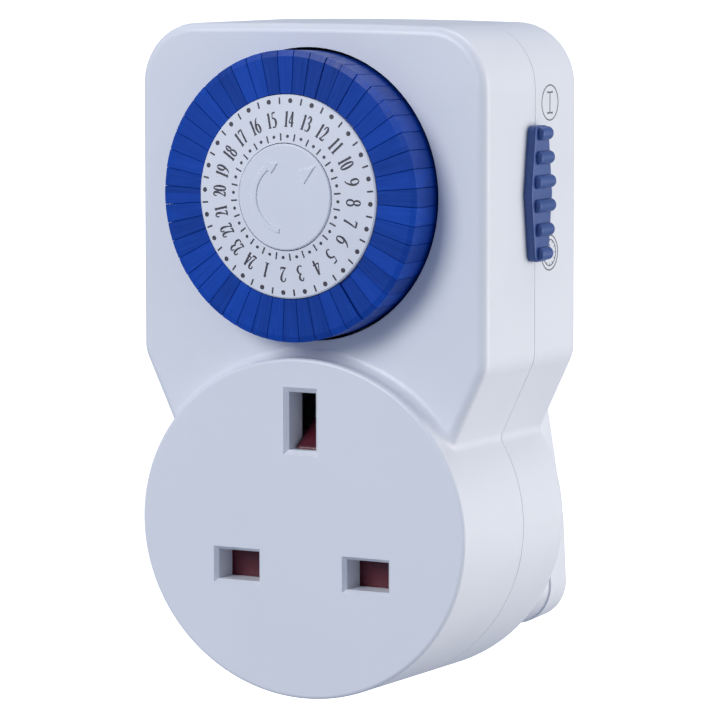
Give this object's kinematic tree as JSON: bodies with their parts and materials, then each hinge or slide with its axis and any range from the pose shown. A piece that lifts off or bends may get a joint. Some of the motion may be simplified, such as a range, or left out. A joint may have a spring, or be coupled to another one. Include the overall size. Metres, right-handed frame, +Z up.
{
  "type": "plug-in segment timer",
  "caption": "Plug-in 24-hour mechanical timer with a ring of push-in half-hour segments round a dial, a side override slider, a shuttered socket in front and a plug behind.",
  "frame": {"origin": "on the plug's wall face, midway between the line and neutral pins", "axes": "+Y into the wall along the plug pins, +Z up, +X to the right seen from the front"},
  "size_m": [0.0613, 0.0664, 0.1003],
  "materials": {
    "shell_white": "satin moulded cool-white plastic",
    "dial_print": "pale grey printed dial face",
    "cap_plastic": "pale grey moulded plastic",
    "segment_blue": "blue moulded plastic",
    "slider_blue": "blue moulded plastic",
    "carrier_black": "black moulded plastic",
    "frame_plastic": "natural moulded nylon",
    "gear_plastic": "natural acetal",
    "shutter_maroon": "dark maroon moulded plastic",
    "lever_plastic": "red-brown moulded plastic",
    "brass": "bright brass",
    "silver_contact": "silver contact",
    "steel": "plated steel",
    "copper_coil": "taped copper winding",
    "magnet": "sintered magnet on a moulded rotor",
    "sleeve_black": "black insulating sleeve",
    "wire_blue": "blue insulation",
    "wire_brown": "brown insulation"
  },
  "bodies": {
    "case": {"front_shell": "shell_white", "rear_shell": "shell_white", "mechanism_plate": "frame_plastic", "centre_cap": "cap_plastic", "fixed_contact_rivet": "silver_contact", "fixed_contact_strip": "brass", "lever_pin": "steel", "lever_spring": "steel", "middle_gear_axle": "steel", "motor_can": "steel", "motor_front_plate": "steel", "motor_coil": "copper_coil", "earth_pin": "brass", "line_pin": "brass", "neutral_pin": "brass", "pin_sleeves": "sleeve_black", "earth_contact": "brass", "line_socket_contact": "brass", "neutral_socket_contact": "brass", "shutter_spring": "steel", "case_screws": "steel", "motor_lead_neutral": "wire_blue", "motor_lead_line": "wire_brown"},
    "dial": {"dial_wheel": "carrier_black", "dial_label": "dial_print"},
    "segment_pins_14": {"segment_pins_14": "segment_blue"},
    "segment_pins_15": {"segment_pins_15": "segment_blue"},
    "segment_pins_16": {"segment_pins_16": "segment_blue"},
    "segment_pins_17": {"segment_pins_17": "segment_blue"},
    "segment_pins_18": {"segment_pins_18": "segment_blue"},
    "segment_pins_19": {"segment_pins_19": "segment_blue"},
    "segment_pins_20": {"segment_pins_20": "segment_blue"},
    "segment_pins_21": {"segment_pins_21": "segment_blue"},
    "segment_pins_22": {"segment_pins_22": "segment_blue"},
    "segment_pins_23": {"segment_pins_23": "segment_blue"},
    "segment_pins_24": {"segment_pins_24": "segment_blue"},
    "segment_pins_01": {"segment_pins_01": "segment_blue"},
    "segment_pins_02": {"segment_pins_02": "segment_blue"},
    "segment_pins_03": {"segment_pins_03": "segment_blue"},
    "segment_pins_04": {"segment_pins_04": "segment_blue"},
    "segment_pins_05": {"segment_pins_05": "segment_blue"},
    "segment_pins_06": {"segment_pins_06": "segment_blue"},
    "segment_pins_07": {"segment_pins_07": "segment_blue"},
    "segment_pins_08": {"segment_pins_08": "segment_blue"},
    "segment_pins_09": {"segment_pins_09": "segment_blue"},
    "segment_pins_10": {"segment_pins_10": "segment_blue"},
    "segment_pins_11": {"segment_pins_11": "segment_blue"},
    "segment_pins_12": {"segment_pins_12": "segment_blue"},
    "segment_pins_13": {"segment_pins_13": "segment_blue"},
    "override_slider": {"override_slider": "slider_blue"},
    "switch_lever": {"cam_lever": "lever_plastic", "moving_contact_leaf": "brass", "moving_contact_rivet": "silver_contact"},
    "transfer_gear": {"transfer_gear": "gear_plastic"},
    "middle_gear": {"middle_gear": "gear_plastic"},
    "motor_rotor": {"motor_rotor": "magnet"},
    "safety_shutter": {"safety_shutter": "shutter_maroon"}
  },
  "joints": [
    {"name": "dial_spin", "type": "hinge", "parent": "case", "child": "dial", "pos_m": [0, -0.035, 0.0559], "axis": [0, 1, 0], "continuous": true},
    {"name": "segments_push_14", "type": "slide", "parent": "dial", "child": "segment_pins_14", "axis": [0, 1, 0], "range_m": [0, 0.0025]},
    {"name": "segments_push_15", "type": "slide", "parent": "dial", "child": "segment_pins_15", "axis": [0, 1, 0], "range_m": [0, 0.0025]},
    {"name": "segments_push_16", "type": "slide", "parent": "dial", "child": "segment_pins_16", "axis": [0, 1, 0], "range_m": [0, 0.0025]},
    {"name": "segments_push_17", "type": "slide", "parent": "dial", "child": "segment_pins_17", "axis": [0, 1, 0], "range_m": [0, 0.0025]},
    {"name": "segments_push_18", "type": "slide", "parent": "dial", "child": "segment_pins_18", "axis": [0, 1, 0], "range_m": [0, 0.0025]},
    {"name": "segments_push_19", "type": "slide", "parent": "dial", "child": "segment_pins_19", "axis": [0, 1, 0], "range_m": [0, 0.0025]},
    {"name": "segments_push_20", "type": "slide", "parent": "dial", "child": "segment_pins_20", "axis": [0, 1, 0], "range_m": [0, 0.0025]},
    {"name": "segments_push_21", "type": "slide", "parent": "dial", "child": "segment_pins_21", "axis": [0, 1, 0], "range_m": [0, 0.0025]},
    {"name": "segments_push_22", "type": "slide", "parent": "dial", "child": "segment_pins_22", "axis": [0, 1, 0], "range_m": [0, 0.0025]},
    {"name": "segments_push_23", "type": "slide", "parent": "dial", "child": "segment_pins_23", "axis": [0, 1, 0], "range_m": [0, 0.0025]},
    {"name": "segments_push_24", "type": "slide", "parent": "dial", "child": "segment_pins_24", "axis": [0, 1, 0], "range_m": [0, 0.0025]},
    {"name": "segments_push_01", "type": "slide", "parent": "dial", "child": "segment_pins_01", "axis": [0, 1, 0], "range_m": [0, 0.0025]},
    {"name": "segments_push_02", "type": "slide", "parent": "dial", "child": "segment_pins_02", "axis": [0, 1, 0], "range_m": [0, 0.0025]},
    {"name": "segments_push_03", "type": "slide", "parent": "dial", "child": "segment_pins_03", "axis": [0, 1, 0], "range_m": [0, 0.0025]},
    {"name": "segments_push_04", "type": "slide", "parent": "dial", "child": "segment_pins_04", "axis": [0, 1, 0], "range_m": [0, 0.0025]},
    {"name": "segments_push_05", "type": "slide", "parent": "dial", "child": "segment_pins_05", "axis": [0, 1, 0], "range_m": [0, 0.0025]},
    {"name": "segments_push_06", "type": "slide", "parent": "dial", "child": "segment_pins_06", "axis": [0, 1, 0], "range_m": [0, 0.0025]},
    {"name": "segments_push_07", "type": "slide", "parent": "dial", "child": "segment_pins_07", "axis": [0, 1, 0], "range_m": [0, 0.0025]},
    {"name": "segments_push_08", "type": "slide", "parent": "dial", "child": "segment_pins_08", "axis": [0, 1, 0], "range_m": [0, 0.0025]},
    {"name": "segments_push_09", "type": "slide", "parent": "dial", "child": "segment_pins_09", "axis": [0, 1, 0], "range_m": [0, 0.0025]},
    {"name": "segments_push_10", "type": "slide", "parent": "dial", "child": "segment_pins_10", "axis": [0, 1, 0], "range_m": [0, 0.0025]},
    {"name": "segments_push_11", "type": "slide", "parent": "dial", "child": "segment_pins_11", "axis": [0, 1, 0], "range_m": [0, 0.0025]},
    {"name": "segments_push_12", "type": "slide", "parent": "dial", "child": "segment_pins_12", "axis": [0, 1, 0], "range_m": [0, 0.0025]},
    {"name": "segments_push_13", "type": "slide", "parent": "dial", "child": "segment_pins_13", "axis": [0, 1, 0], "range_m": [0, 0.0025]},
    {"name": "override_slide", "type": "slide", "parent": "case", "child": "override_slider", "axis": [0, 0, 1], "range_m": [0, 0.004]},
    {"name": "lever_pivot", "type": "hinge", "parent": "case", "child": "switch_lever", "pos_m": [0.011, -0.026, 0.02975], "axis": [0, -1, 0], "range_deg": [0, 10], "stiffness_Nm_per_rad": 0.004, "springref_deg": -8.59, "deforming": ["lever_spring"]},
    {"name": "shutter_slide", "type": "slide", "parent": "case", "child": "safety_shutter", "axis": [0, 0, -1], "range_m": [0, 0.0057], "stiffness_N_per_m": 60, "springref_m": -0.004, "deforming": ["shutter_spring"]},
    {"name": "transfer_gear_spin", "type": "hinge", "parent": "case", "child": "transfer_gear", "pos_m": [-0.01212, -0.025, 0.0629], "axis": [0, 1, 0], "continuous": true},
    {"name": "middle_gear_spin", "type": "hinge", "parent": "case", "child": "middle_gear", "pos_m": [-0.00889, -0.0205, 0.05083], "axis": [0, 1, 0], "continuous": true},
    {"name": "rotor_spin", "type": "hinge", "parent": "case", "child": "motor_rotor", "pos_m": [0.00199, -0.015, 0.0559], "axis": [0, 1, 0], "continuous": true}
  ],
  "couplings": [
    {"joint": "transfer_gear_spin", "follows": "dial_spin", "ratio": -3},
    {"joint": "middle_gear_spin", "follows": "dial_spin", "ratio": 7.7143},
    {"joint": "rotor_spin", "follows": "dial_spin", "ratio": -15.429}
  ]
}
